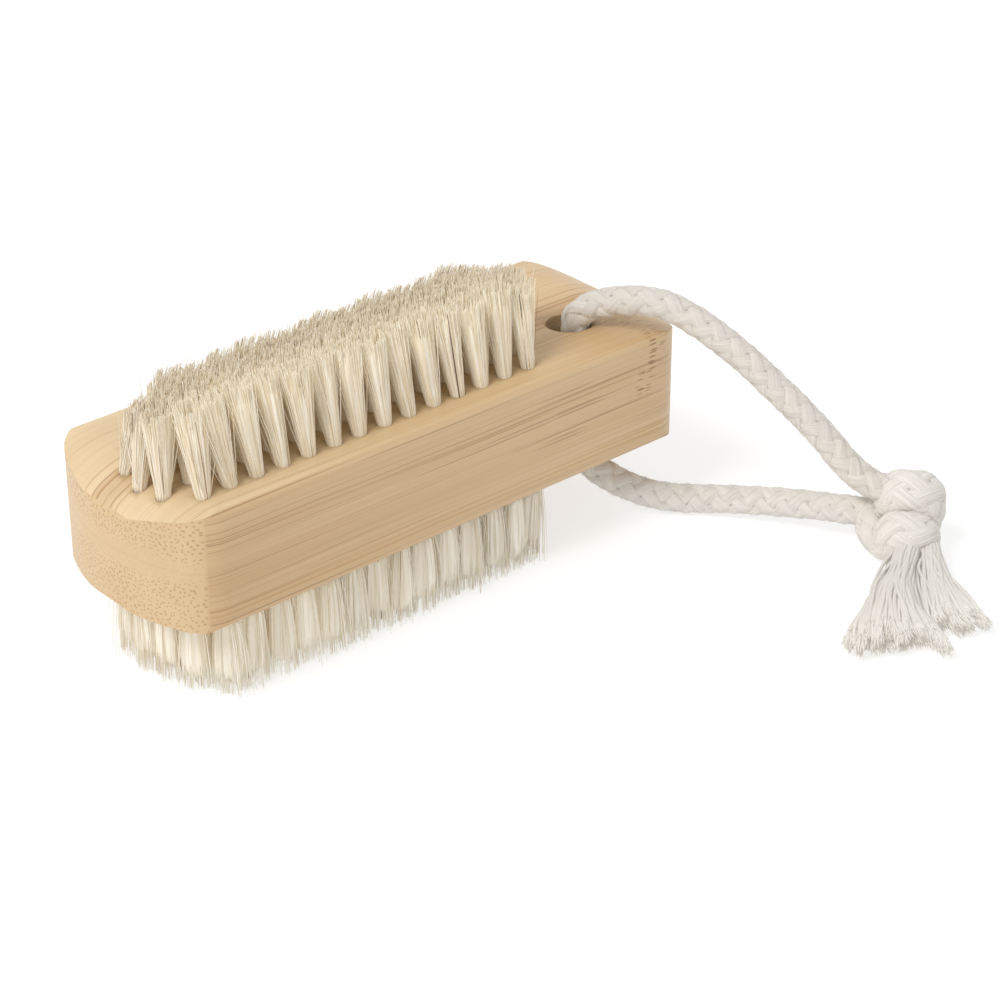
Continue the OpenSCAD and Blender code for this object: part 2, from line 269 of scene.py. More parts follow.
# Node helpers
class Nodes:
    """A short way to write the node tree of a material."""

    def __init__(self, name):
        self.mat = bpy.data.materials.new(name)
        self.mat.use_nodes = True
        self.tree = self.mat.node_tree
        self.tree.nodes.clear()
        self.out = self.new("OutputMaterial")
        self.bsdf = self.new("BsdfPrincipled")
        self.tree.links.new(self.bsdf.outputs[0], self.out.inputs[0])

    def new(self, kind, inputs=None, **settings):
        """A shader node with its settings, and its inputs by name or number."""
        n = self.tree.nodes.new("ShaderNode" + kind)
        for key, value in settings.items():
            setattr(n, key, value)
        for key, value in (inputs or {}).items():
            self.put(n.inputs[key], value)
        return n

    def put(self, socket, value):
        if isinstance(value, bpy.types.NodeSocket):
            self.tree.links.new(value, socket)
        else:
            socket.default_value = value

    def set(self, name, value):
        self.put(self.bsdf.inputs[name], value)

    def coords(self):
        return self.new("TexCoord").outputs["Object"]

    def attr(self, name, out="Fac"):
        return self.new("Attribute", attribute_name=name).outputs[out]

    def math(self, op, a, b=0.0):
        return self.new("Math", {0: a, 1: b}, operation=op).outputs[0]

    def mul(self, *values):
        return functools.reduce(lambda a, b: self.math("MULTIPLY", a, b), values)

    def add(self, a, b):
        return self.math("ADD", a, b)

    def sub(self, a, b):
        return self.math("SUBTRACT", a, b)

    def max(self, a, b):
        return self.math("MAXIMUM", a, b)

    def abs(self, a):
        return self.math("ABSOLUTE", a)

    def scale(self, vec, s, offset=(0, 0, 0)):
        return self.new("Mapping", {"Vector": vec, "Scale": s, "Location": offset}).outputs[0]

    def split(self, vec):
        return self.new("SeparateXYZ", {0: vec}).outputs

    def combine(self, x, y, z=0.0):
        return self.new("CombineXYZ", {0: x, 1: y, 2: z}).outputs[0]

    def noise(self, vec, scale=1.0, detail=3.0, rough=0.5, out="Fac"):
        n = self.new("TexNoise", {"Vector": vec, "Scale": scale, "Detail": detail, "Roughness": rough})
        return n.outputs[out]

    def cells(self, x, y, scale=1.0, random=1.0):
        """Voronoi cells on a plane: all outputs of the node."""
        inputs = {"Vector": self.combine(x, y), "Scale": scale, "Randomness": random}
        return self.new("TexVoronoi", inputs, voronoi_dimensions="2D").outputs

    def ramp(self, fac, stops):
        n = self.new("ValToRGB", {0: fac})
        e = n.color_ramp.elements
        while len(e) < len(stops):
            e.new(0.5)
        for el, (pos, col) in zip(e, stops):
            el.position = pos
            el.color = (*col, 1.0)
        return n.outputs[0]

    def remap(self, v, a, b, c=0.0, d=1.0, smooth=True):
        """Takes a..b to c..d, and holds the ends outside that."""
        inputs = {"Value": v, "From Min": a, "From Max": b, "To Min": c, "To Max": d}
        kind = "SMOOTHSTEP" if smooth else "LINEAR"
        return self.new("MapRange", inputs, interpolation_type=kind).outputs[0]

    def mix(self, fac, a, b, mode="MIX"):
        a, b = ((*v, 1.0) if isinstance(v, tuple) else v for v in (a, b))
        return self.new("Mix", {0: fac, 6: a, 7: b}, data_type="RGBA", blend_type=mode).outputs[2]

    def times(self, color, tint):
        return self.mix(1.0, color, tint, "MULTIPLY")

    def bump(self, height, strength, distance):
        inputs = {"Strength": strength, "Distance": distance, "Height": height}
        self.set("Normal", self.new("Bump", inputs).outputs[0])

    def let_through(self, color, share):
        """Some of the light passes through, as in thin fibres."""
        thin = self.new("BsdfTranslucent", {"Color": color})
        both = self.new("MixShader", {0: share, 1: self.bsdf.outputs[0], 2: thin.outputs[0]})
        self.tree.links.new(both.outputs[0], self.out.inputs[0])


# The cord comes first
FRAY_THROUGH = 0.08  # share of light that passes through an opened yarn
FRAY_LIGHT = (1.0, 0.955, 0.88, 1.0)
FRAY_GLOW, FRAY_TIP_GLOW = 0.085, 0.18


def cotton(name, tones, stain, bump, opened=False):
    """Cotton yarn: fibres run along the third of the coordinates in fib."""
    n = Nodes(name)
    fibre = n.attr("fib", "Vector")
    strands = n.noise(n.scale(fibre, (9.0, 9.0, 1.1)), 1.0, 3.0, 0.6)
    fine = n.noise(n.scale(fibre, (22.0, 22.0, 2.5)), 1.0, 2.0, 0.6)
    blotch = n.noise(n.coords(), 130.0, 2.0, 0.5)
    fluff = n.noise(n.coords(), 2600.0, 3.0, 0.65)
    color = n.ramp(strands, [(0.25, tones[0]), (0.5, tones[1]), (0.75, tones[2])])
    color = n.mix(n.remap(blotch, 0.45, 0.75, 0.0, 0.35), color, stain)
    n.set("Base Color", color)
    n.set("Roughness", n.remap(strands, 0.3, 0.7, 0.94, 0.84))
    n.set("Specular IOR Level", 0.15)
    n.set("Sheen Weight", 0.25)
    n.set("Sheen Roughness", 0.5)
    n.bump(n.add(strands, n.mul(n.add(fine, fluff), 0.5)), bump, 0.00028)
    if opened:
        # the glow stands for light that scatters among the fibres, most of all at the tips
        n.let_through(color, FRAY_THROUGH)
        n.set("Emission Color", FRAY_LIGHT)
        n.set("Emission Strength", n.remap(n.attr("tip"), 0.0, 1.0, FRAY_GLOW, FRAY_TIP_GLOW))
    return n.mat


cord_cotton = cotton(
    "cord_cotton", [(0.60, 0.55, 0.48), (0.74, 0.695, 0.63), (0.81, 0.77, 0.71)], (0.77, 0.69, 0.58), 0.7)
# painted light: a lighter copy of the cord cotton, used on the knot and on the lower strand to lift its shade
lit_cotton = cotton(
    "lit_cotton", [(0.64, 0.595, 0.53), (0.79, 0.755, 0.70), (0.87, 0.84, 0.795)], (0.81, 0.74, 0.64), 0.8)
fray_cotton = cotton(
    "fray_cotton", [(0.60, 0.57, 0.52), (0.67, 0.65, 0.605), (0.72, 0.705, 0.67)], (0.67, 0.62, 0.55), 0.3,
    opened=True)

UPPER = [
    (33.72, -5.57, 22.4), (33.72, -5.57, 27.0), (33.72, -5.57, 31.7), (34, -6.1, 33), (34.9, -7.5, 34.5),
    (36.5, -10, 35.7), (38.2, -12.8, 36.4), (40, -15.7, 36.6), (41.6, -18.2, 36), (43.6, -21.6, 34.3),
    (45.7, -25, 31.8), (47.9, -28.4, 28.8), (50, -31.8, 25.4), (52.1, -35.2, 21.9), (54.2, -38.6, 18),
    (56, -41.6, 14.2), (57.6, -44.2, 11.8), (59.7, -46.8, 10.2),
]
LOWER = [
    (33.72, -5.57, 22.3), (33.72, -5.57, 17.5), (33.72, -5.57, 13), (33.9, -5.9, 11.4), (34.2, -6.5, 9.6),
    (35, -7.8, 7.9), (36.3, -9.6, 6.3), (38.2, -12, 4.7), (40.7, -14.8, 3.4), (43.6, -17.5, 2.6),
    (46.8, -20.6, 2.5), (50.4, -25.4, 3), (53.6, -31.2, 3.8), (56, -36.6, 4.6), (57.8, -41.2, 5.2),
    (60, -45.6, 5.6),
]
CORD_STEP, KNOT_STEP, FRAY_STEP = 0.45, 0.4, 0.9  # mm between the rings of a route
FLOOR_GAP = 0.05  # mm between the lowest points and the floor


def cord_piece(name, route, wide, high, phase, cloth):
    """One strand of the cord: its object, middle line and length."""
    line, length = smooth_route(route, CORD_STEP)
    v, q, f = join([braid(line, wide, high, phase=phase), fuzz(line, int(length * FUZZ_PER_MM))])
    v[:, 2] = np.maximum(v[:, 2], FLOOR_GAP)
    o = make_mesh(name, v, q, attrs={"fib": f})
    o.data.materials.append(cloth)
    return o, line, length


upper_cord, upper_line, upper_len = cord_piece("cord_upper_braid", UPPER, 2.4, 2.25, 0.3, cord_cotton)
lower_cord, lower_line, lower_len = cord_piece("cord_lower_braid", LOWER, 2.3, 2.3, 1.1, lit_cotton)

# The knot, on an axis that leans and turns towards the frayed ends
LEAN, TURN = math.radians(49), math.radians(40)
KNOT = np.array([61.0, -50.4, 6.998])
AXIS = np.array([math.sin(LEAN) * math.cos(TURN), math.sin(LEAN) * math.sin(TURN), math.cos(LEAN)])
SIDE = np.array([-math.sin(TURN), math.cos(TURN), 0.0])
FRONT = np.cross(AXIS, SIDE)
WRAP_TURNS, WRAP_FROM = 2.2, 200
WRAP_STEPS = [(0, 2.7), (0.95, 2.7), (1.25, -3.8), (2.2, -3.8)]
WRAP_RADII = [(0, 2.6), (0.2, 2.95), (1.0, 2.95), (1.3, 2.6), (2.2, 2.5)]
OVER = [(59.0, -45.9, 10.9), (60.4, -47.6, 10.6), (61.6, -50.0, 9.6), (61.8, -52.0, 7.8), (60.4, -53.2, 5.6)]
LOBE = [
    (60.0, -45.6, 5.6), (58.3, -45.8, 4.9), (57.2, -47.2, 3.9), (57.3, -49.2, 3.2), (58.4, -51.0, 2.9),
    (60.2, -52.2, 3.4), (61.6, -52.6, 4.6),
]
CORE_L, CORE_R = 3.4, 3.6
PRESSED = 0.55  # mm over the floor within which the knot is pressed flat


def coil(turns, start_deg, steps, radii, n=130):
    """A wrap round the axis of the knot: angle 0 is its far left side.

    steps and radii give its place along the axis and its radius as the turns go by."""
    at = np.linspace(0, turns, n)
    a = np.radians(start_deg) + at * 2 * np.pi
    reach = 8
    window = 2 * reach + 1
    h = np.interp(at, *zip(*steps))
    h = np.convolve(np.pad(h, reach, mode="edge"), np.ones(window) / window, mode="valid")
    radius = np.interp(at, *zip(*radii))[:, None]
    return KNOT + radius * (np.cos(a)[:, None] * SIDE + np.sin(a)[:, None] * FRONT) + h[:, None] * AXIS


def axis_frames(line):
    """Frames whose first normal follows the axis of the knot."""
    t = unit(np.gradient(line, axis=0))
    n = unit(AXIS - np.sum(t * AXIS, 1)[:, None] * t)
    return t, n, np.cross(t, n)


def knot_core(rings=9, sides=24):
    """A ball that fills the middle of the knot."""
    u = np.linspace(0, np.pi, rings)
    r = CORE_R * np.sin(u)[:, None]
    v = one_tube(KNOT - CORE_L * np.cos(u)[:, None] * AXIS, r * SIDE + 1e-3, r * FRONT + 1e-3, sides)
    return v, tube_quads(1, rings, sides)


wraps, _ = smooth_route(coil(WRAP_TURNS, WRAP_FROM, WRAP_STEPS, WRAP_RADII), KNOT_STEP)
over, _ = smooth_route(OVER, KNOT_STEP)
lobe, _ = smooth_route(LOBE, KNOT_STEP)
v, q, f = join([
    braid(wraps, 3.5, 2.4, turn_mm=15.5, phase=0.6, sides=12, frames=axis_frames(wraps)),
    braid(over, 2.2, 2.0, phase=0.1), braid(lobe, 2.7, 2.6, phase=1.2), knot_core()])
# low points are pressed together above the floor, in their own order
low = np.minimum(v[:, 2] - (FLOOR_GAP + PRESSED), 0.0)
v[:, 2] = np.where(low < 0, FLOOR_GAP + PRESSED * np.exp(low / PRESSED), v[:, 2])
knot = make_mesh("knot_wraps", v, q, attrs={"fib": f})
knot.data.materials.append(lit_cotton)

# The frayed ends: middle lines, and half widths and half heights along them
LEFT_ROUTE = [
    (60.2, -51.9, 5.2), (58.6, -52.9, 4.6), (57.0, -54.2, 4.1), (51.8, -57.6, 3.9), (45.9, -61.4, 3.3),
    (41.0, -66.0, 2.5), (37.4, -70.2, 1.9),
]
LEFT_W, LEFT_H = [1.7, 1.8, 1.9, 2.5, 4.0, 6.6, 7.9], [1.9, 2.0, 2.1, 2.3, 2.2, 1.6, 0.9]
RIGHT_ROUTE = [
    (61.0, -53.2, 5.2), (60.0, -55.0, 4.3), (58.7, -56.9, 3.6), (54.3, -61.5, 3.3), (51.3, -65.8, 2.7),
    (49.1, -69.5, 2.1), (48.0, -71.7, 1.8),
]
RIGHT_W, RIGHT_H = [1.7, 1.7, 1.8, 2.5, 3.7, 4.9, 5.5], [1.9, 1.9, 1.9, 1.9, 1.7, 1.4, 0.9]
YARN_RINGS, YARN_SIDES, BODY_SIDES = 20, 7, 18
FIBRES, FIBRE_RINGS, FIBRE_R = 9, 4, 0.16  # fine fibres at the end of each yarn
TIP_FROM = 0.62  # share of the length from which a fray counts as its tip
BODY_SHARE = 0.93  # share of the length that has the filled middle


def across_line(line):
    """Tangent, level side and up direction at each point."""
    t = unit(np.gradient(line, axis=0))
    side = unit(np.cross(t, (0, 0, 1.0)))
    return t, side, np.cross(side, t)


def yarn_places(count, r):
    """Where the yarns lie across the bundle, in shares of its half sizes, and their locks."""
    a = r.uniform(0, 2 * np.pi, count)
    d = np.where(
        r.uniform(0, 1, count) < 0.7, r.uniform(0.9, 1.04, count), np.sqrt(r.uniform(0, 1, count)))
    px, pz = d * np.cos(a), d * np.sin(a)
    order = np.argsort(px)
    px = px[order] * 0.6 + np.linspace(-0.95, 0.95, count) * 0.4 + r.normal(0, 0.05, count)
    locks = max(6, count // 17)
    lock = np.arange(count) * locks // count
    lock_x = np.array([px[lock == g].mean() for g in range(locks)])[lock]
    reach = r.uniform(0.92, 1.06, locks)[lock] * r.uniform(0.96, 1.0, count)
    return px, pz[order], lock_x, reach


def yarn_lines(line, length, w, h, count, r):
    """Middle lines of the yarns, their radii, and how far along the bundle each ring is."""
    m = len(line)
    t, side, up = across_line(line)
    px, pz, lock_x, reach = yarn_places(count, r)
    yarn_r = r.uniform(0.2, 0.32, count)
    uu = np.linspace(0, 1, YARN_RINGS)[None, :] * reach[:, None]
    inside = np.clip(uu, 0, 1)
    i0 = np.clip((inside * (m - 1)).astype(int), 0, m - 2)
    part = (inside * (m - 1) - i0)[..., None]
    base = line[i0] * (1 - part) + line[i0 + 1] * part
    base = base + np.maximum(uu - 1, 0)[..., None] * length * t[-1]
    u = np.linspace(0, 1, m)
    sway = r.normal(0, 1, (count, 4))
    begin = np.minimum(uu * 3, 1)
    wave = (
        sway[:, :1] * np.sin(uu * 7 + sway[:, 1:2] * 3) * 0.36
        + sway[:, 2:3] * np.sin(uu * 17 + sway[:, 3:4] * 3) * 0.14
    ) * begin
    wave_z = r.normal(0, 0.14, (count, 1)) * np.sin(uu * 9 + sway[:, 1:2] * 5) * begin
    draw = np.clip((uu - 0.5) / 0.5, 0, 1) ** 1.5 * 0.4
    sx = (px[:, None] * (1 - draw) + lock_x[:, None] * draw) * np.interp(inside, u, w) + wave
    sz = pz[:, None] * np.interp(inside, u, h) + wave_z
    c = base + sx[..., None] * side[i0] + sz[..., None] * up[i0]
    c[..., 2] = np.maximum(c[..., 2], yarn_r[:, None] + 0.1)
    rad = yarn_r[:, None] * (1 - 0.3 * np.clip((uu / reach[:, None] - 0.8) / 0.2, 0, 1))
    rad[:, -1] *= 0.1
    return c, rad, uu


def yarn_tubes(c, rad, uu):
    """The yarns as tubes, and their tangents."""
    count = len(c)
    tan = unit(np.gradient(c, axis=1))
    s1 = unit(np.cross(tan, (0, 0, 1.0)))
    s2 = np.cross(s1, tan)
    g = tube_grid(c, s1 * rad[..., None], s2 * rad[..., None], YARN_SIDES)
    ang = circle(YARN_SIDES)
    fib = point_vectors(
        np.cos(ang) * 0.55 + np.arange(count)[:, None, None] * 3.7, np.sin(ang) * 0.55, uu[..., None] * 3)
    return (g.reshape(-1, 3), tube_quads(count, YARN_RINGS, YARN_SIDES), fib), tan


def fray_body(line, w, h, last):
    """A filled middle that keeps the bundle closed under its yarns."""
    _, side, up = across_line(line)
    closed = np.sqrt(np.clip(np.linspace(5, 0, last), 0, 1))[:, None]
    wide, high = (side * w[:, None] * 0.95)[:last] * closed, (up * h[:, None] * 0.86)[:last] * closed
    v = one_tube(line[:last], wide, high, BODY_SIDES)
    v[:, 2] = np.maximum(v[:, 2], 0.1)
    ring = circle(BODY_SIDES)[None]
    u = np.linspace(0, 1, len(line))[:last, None]
    fib = point_vectors(np.cos(ring) * w[:last, None] * 2.2, np.sin(ring) * 2, u * 3)
    return v, tube_quads(1, last, BODY_SIDES), fib


def yarn_fibres(c, tan, r):
    """The fine fibres that each yarn opens into at its end."""
    count = len(c)
    start = c[:, -3][:, None] + r.normal(0, 0.16, (count, FIBRES, 3))
    lean = unit(tan[:, -1][:, None] + r.normal(0, 0.11, (count, FIBRES, 3)))
    long = r.uniform(1.2, 2.7, (count, FIBRES))
    u = np.linspace(0, 1, FIBRE_RINGS)
    cc = start[:, :, None] + lean[:, :, None] * (long[..., None] * u)[..., None]
    cc = cc + r.normal(0, 0.15, (count, FIBRES, 1, 3)) * (u**2)[None, None, :, None]
    cc = cc.reshape(-1, FIBRE_RINGS, 3)
    cc[..., 2] = np.maximum(cc[..., 2], 0.12)
    lean = lean.reshape(-1, 3)
    f1 = unit(np.cross(lean, (0, 0, 1.0)))
    f2 = np.cross(f1, lean)
    v = thin_tubes(cc, f1, f2, FIBRE_R * (1 - 0.7 * u**2))
    n = len(cc)
    fib = np.repeat(r.uniform(0, 40, (n, 3)), 4 * FIBRE_RINGS, axis=0)
    return v, np.concatenate([tube_quads(n, FIBRE_RINGS, 4), cap_quads(n, FIBRE_RINGS)]), fib


def fray(name, route, half_w, half_h, count, seed):
    """A bundle of yarns that ends in locks."""
    r = np.random.default_rng(seed)
    line, length = smooth_route(route, FRAY_STEP)
    u = np.linspace(0, 1, len(line))
    w = np.interp(u, np.linspace(0, 1, len(half_w)), half_w)
    h = np.interp(u, np.linspace(0, 1, len(half_h)), half_h)
    last = int(len(line) * BODY_SHARE)
    c, rad, uu = yarn_lines(line, length, w, h, count, r)
    yarns, tan = yarn_tubes(c, rad, uu)
    fibres = yarn_fibres(c, tan, r)
    v, q, f = join([yarns, fray_body(line, w, h, last), fibres])
    # 1 at the ends of the yarns and in their fibres, where light scatters among them
    tip = np.concatenate([
        np.repeat(np.clip((uu - TIP_FROM) / (1 - TIP_FROM), 0, 1).ravel(), YARN_SIDES),
        np.repeat(np.clip((u[:last] - TIP_FROM) / (1 - TIP_FROM), 0, 1), BODY_SIDES),
        np.ones(len(fibres[0]))])
    o = make_mesh(name, v, q, attrs={"fib": f, "tip": tip})
    o.data.materials.append(fray_cotton)
    return o


fray_left = fray("fray_left_yarns", LEFT_ROUTE, LEFT_W, LEFT_H, 210, 3)
fray_right = fray("fray_right_yarns", RIGHT_ROUTE, RIGHT_W, RIGHT_H, 150, 5)

for o in (upper_cord, lower_cord, knot, fray_left, fray_right):
    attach(o, "root")
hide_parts("cord_upper", "cord_bore")
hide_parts("cord_lower", "cord_bore")
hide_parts("knot")
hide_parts("fray_left")
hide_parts("fray_right")

# Bamboo, with its landmarks in metres
HALF_W = BLOCK_W * MM / 2
BOTTOM, BLOCK_H = BASE * MM, (TOP - BASE) * MM
GLUE = BOTTOM + BLOCK_H / 2
STRIP_JOINT = 0.0023  # where two strips of the flat faces meet, counted across their slant
SLANT = 0.019
GROUND = [(0.28, (0.590, 0.412, 0.220)), (0.5, (0.620, 0.440, 0.240)), (0.72, (0.650, 0.470, 0.264))]
LINE_BROWN, STRIPE_BROWN, JOINT_BROWN = (0.34, 0.20, 0.09), (0.36, 0.185, 0.062), (0.24, 0.12, 0.045)
ORANGE, SCAR_BROWN, PORE_BROWN = (0.47, 0.25, 0.075), (0.27, 0.15, 0.065), (0.42, 0.25, 0.105)
GLUE_BROWN, END_WOOD = (0.36, 0.21, 0.10), (0.620, 0.445, 0.250)
# lines along the fibres: place, half width and strength, the places in mm up the sides or across the top
SIDE_LINES = [
    (14.4, 0.13, 0.5), (17.9, 0.13, 0.5), (18.8, 0.15, 0.85), (20.2, 0.11, 0.3), (22.9, 0.12, 0.4),
    (25.0, 0.11, 0.4), (26.6, 0.18, 0.95), (27.4, 0.15, 0.75), (28.4, 0.12, 0.5),
]
SIDE_ORANGE = [(15.5, 0.26, 0.9), (16.3, 0.2, 0.8)]
TOP_STRIPES = [
    (-3.3, 0.3, 0.6), (-2.1, 0.4, 0.85), (-0.5, 0.5, 1.0), (0.4, 0.2, 0.5), (1.25, 0.5, 1.0), (4.1, 0.3, 0.7),
]
SIDE_SPAN, TOP_SPAN = (13.0, 31.0), (-5.0, 5.0)

wood = Nodes("bamboo")
co = wood.coords()
x, y, z = wood.split(co)
facing = wood.split(wood.new("NewGeometry").outputs["Normal"])
toward_end = wood.sub(wood.abs(facing[0]), wood.mul(wood.abs(facing[2]), 0.6))
end_face = wood.remap(toward_end, 0.46, 0.58)
long_face = wood.sub(1.0, end_face)
side_face = wood.remap(wood.abs(facing[1]), 0.45, 0.75)
not_side = wood.sub(1.0, side_face)
side_face = wood.mul(side_face, long_face)
flat = wood.mul(not_side, long_face)
right_half = wood.remap(x, -0.01, 0.035)
# fibres run along X. Across them the pattern follows Y on the flat faces and Z on the sides,
# counted from the long edges, with its jumps at the joint of the strips and at the glue line
slant = wood.add(y, wood.mul(x, SLANT))
past_joint = wood.math("GREATER_THAN", slant, STRIP_JOINT)
past_glue = wood.math("GREATER_THAN", z, GLUE)
from_edge = wood.sub(wood.add(slant, HALF_W), wood.mul(past_joint, 2 * HALF_W))
from_face = wood.sub(wood.sub(z, BOTTOM), wood.mul(past_glue, BLOCK_H))
lane_y = wood.mul(from_edge, wood.add(0.12, wood.mul(not_side, 0.88)))
lane_z = wood.mul(from_face, wood.sub(1.0, flat))
lanes = wood.combine(x, lane_y, lane_z)
lane = wood.add(lane_y, lane_z)
drift = wood.noise(wood.combine(wood.mul(x, 28.0), wood.mul(lane, 110.0)), 1.0, 1.0)


def drifting(value, metres):
    """The value with a slow wander of the fibres."""
    return wood.add(value, wood.mul(wood.sub(drift, 0.5), metres))


lane = drifting(lane, 0.0007)
wavy_z, wavy_y = drifting(z, 0.0009), drifting(slant, 0.0005)


def stretched(along, across, detail, rough=0.5, shift=0.0, wander=0.0):
    """Noise whose features run along the fibres: scales per metre along and across them."""
    v = wood.scale(lanes, (along, across, across), (shift, shift * 1.7, shift * 0.6))
    if wander:
        sway = wood.noise(wood.scale(co, (26.0, 40.0, 40.0)), 1.0, 1.0, 0.5, "Color")
        inputs = {0: sway, 1: (0.0, wander, wander), 2: v}
        v = wood.new("VectorMath", inputs, operation="MULTIPLY_ADD").outputs[0]
    return wood.noise(v, 1.0, detail, rough)


def strokes(along, across, reach, shift):
    """Short strokes along the fibres, each of its own darkness."""
    cell = wood.cells(wood.add(wood.mul(x, along), shift), wood.mul(lane, across))
    own = wood.split(cell["Color"])[0]
    return wood.mul(wood.remap(cell["Distance"], reach, reach * 0.5), wood.math("POWER", own, 1.6))


def near(value, at, width):
    """1 near a value, 0 farther from it than the width."""
    return wood.remap(wood.abs(wood.sub(value, at)), width, 0.0)


def ruled(value, span, marks):
    """Thin lines at given places of a value, which span holds in mm."""
    low, high = span
    stops = []
    for at, half, strong in marks:
        for place, level in ((at - half, 0.0), (at, strong), (at + half, 0.0)):
            stops.append(((place - low) / (high - low), (level, level, level)))
    return wood.ramp(wood.remap(value, low * MM, high * MM, 0.0, 1.0, False), stops)


def tinted(share, color, tint):
    """The colour with some of it multiplied by a tint."""
    return wood.mix(share, color, wood.times(color, tint))


# the ground colour, with broad and fine streaks
broad = stretched(5.0, 210.0, 2.0, 0.5)
middle = stretched(9.0, 620.0, 3.0, 0.55, 3.0, 0.35)
fine = stretched(26.0, 3000.0, 3.0, 0.6, 1.0, 0.5)
base = wood.ramp(broad, GROUND)
base = wood.mix(wood.remap(middle, 0.42, 0.7, 0.0, 0.11), base, (0.53, 0.355, 0.18))
base = wood.mix(wood.remap(fine, 0.5, 0.72, 0.0, 0.24), base, (0.56, 0.365, 0.185))
base = wood.mix(wood.remap(fine, 0.46, 0.28, 0.0, 0.22), base, (0.83, 0.66, 0.44))
# single dark fibres, cut lengthwise
line_a = strokes(9.0, 1900.0, 0.25, 3.3)
line_b = strokes(7.0, 1000.0, 0.14, 7.7)
line_c = strokes(34.0, 1400.0, 0.25, 1.1)
broken = wood.remap(stretched(60.0, 260.0, 1.0, 0.5, 4.0), 0.4, 0.58)
gather = wood.remap(stretched(3.0, 150.0, 1.0, 0.5, 8.0), 0.4, 0.62, 0.25, 1.0)
upper_band = near(z, 0.0270, 0.0024)
lines = wood.mul(line_a, wood.add(wood.mul(gather, 0.75), wood.mul(upper_band, 0.45)))
lines = wood.max(wood.max(lines, line_b), wood.mul(line_c, right_half, broken))
lines = wood.mul(lines, wood.add(side_face, wood.mul(flat, 0.65)))
# long lines on the sides, and two orange ones
come_go = wood.remap(stretched(16.0, 330.0, 2.0, 0.5, 5.0), 0.38, 0.58, 0.2, 1.0)
long_lines = wood.mul(ruled(wavy_z, SIDE_SPAN, SIDE_LINES), come_go, side_face)
lines = wood.mul(wood.max(lines, long_lines), long_face)
base = wood.mix(wood.mul(lines, 0.92), base, LINE_BROWN)
orange = wood.mul(ruled(wavy_z, SIDE_SPAN, SIDE_ORANGE), side_face)
orange = wood.mul(orange, wood.remap(stretched(18.0, 30.0, 2.0), 0.35, 0.62, 0.4, 0.95))
base = wood.mix(orange, base, ORANGE)
# the joint between two strips on the flat faces, with brown stripes beside it
joint = wood.mul(near(slant, STRIP_JOINT, 0.00022), flat)
brown = wood.mul(wood.remap(slant, 0.0024, 0.0021), wood.remap(slant, -0.0034, -0.0006))
uneven = wood.remap(stretched(10.0, 700.0, 1.0, 0.5, 6.0), 0.34, 0.54, 0.7, 1.0)
stripes = wood.max(wood.mul(ruled(wavy_y, TOP_SPAN, TOP_STRIPES), uneven), wood.mul(brown, 0.35))
stripes = wood.mul(stripes, wood.mul(flat, long_face))
base = wood.mix(stripes, base, STRIPE_BROWN)
base = wood.mix(wood.mul(joint, 0.7), base, JOINT_BROWN)
# painted highlight: the flat faces are paler and less yellow towards the plain end; they are also browner
# about the bore
# painted shadow of the cord and bristles: the flat faces turn browner towards the bore, on the near side
painted_bore_shadow = wood.mul(flat, wood.remap(x, 0.012, 0.034), wood.remap(y, 0.004, -0.004))
base = tinted(wood.mul(flat, wood.remap(x, 0.0, -0.045)), base, (1.12, 1.20, 1.34))
base = tinted(painted_bore_shadow, base, (0.93, 0.88, 0.81))
# painted shade: the sides and ends are a little darker than the flat faces, the sides most at the plain end
painted_side_shade = wood.mix(wood.remap(x, -0.04, 0.03), (0.91, 0.87, 0.85), (0.96, 0.97, 1.03))
base = tinted(side_face, base, painted_side_shade)
base = tinted(end_face, base, (0.94, 0.935, 0.94))
# the scar of a node near the bored end: short dashes across the face
scar_x = wood.add(x, wood.mul(wood.sub(z, 0.0273), -0.35))
scar = wood.mul(near(scar_x, 0.0385, 0.0034), wood.remap(z, 0.0205, 0.0245), wood.remap(y, -0.005, -0.011))
scar = wood.mul(scar, wood.remap(strokes(420.0, 2500.0, 0.42, 5.5), 0.22, 0.42), long_face)
base = wood.mix(wood.mul(scar, 0.85), base, SCAR_BROWN)
# pores of the cut fibre bundles on the end faces, fewer towards the glue line
cell = wood.cells(y, z, 1430.0, 0.8)["Distance"]
often = wood.noise(wood.scale(co, (20.0, 190.0, 190.0)), 1.0, 1.0, 0.5)
from_seam = wood.abs(wood.sub(z, GLUE))
often = wood.mul(wood.remap(often, 0.3, 0.6, 0.7, 1.0), wood.remap(from_seam, 0.0006, 0.0030, 0.3, 1.0))
pore = wood.mul(wood.remap(cell, wood.mul(often, 0.32), wood.mul(often, 0.18)), end_face)
base = wood.mix(wood.mul(end_face, 0.6), base, END_WOOD)
base = wood.mix(wood.mul(pore, 0.72), base, PORE_BROWN)
# glue line between the plies
seam = wood.mul(wood.remap(from_seam, 0.00020, 0.00004), wood.remap(end_face, 0.0, 1.0, 0.22, 0.1, False))
base = wood.mix(seam, base, GLUE_BROWN)
wood.set("Base Color", base)
wood.set("Roughness", wood.remap(fine, 0.3, 0.75, 0.36, 0.52))
wood.set("Specular IOR Level", 0.4)
wood.set("Coat Weight", 0.08)
wood.set("Coat Roughness", 0.3)
cuts = wood.add(wood.mul(pore, 0.5), wood.mul(wood.max(lines, scar), 0.5))
wood.bump(wood.sub(wood.mul(fine, 0.4), wood.add(cuts, wood.mul(joint, 0.4))), 0.4, 0.0001)

steel = Nodes("anchor_steel")
brushed = steel.noise(steel.coords(), 900.0, 3.0, 0.6)
steel.set("Base Color", steel.ramp(brushed, [(0.3, (0.42, 0.42, 0.41)), (0.7, (0.62, 0.61, 0.60))]))
steel.set("Metallic", 1.0)
steel.set("Roughness", steel.remap(brushed, 0.2, 0.8, 0.3, 0.5))
steel.bump(brushed, 0.2, 0.00005)

for name, mat in (
        ("upper_ply", wood.mat), ("lower_ply", wood.mat), ("upper_anchors", steel.mat),
        ("lower_anchors", steel.mat)):
    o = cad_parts[name]
    o.data.materials.clear()
    o.data.materials.append(mat)

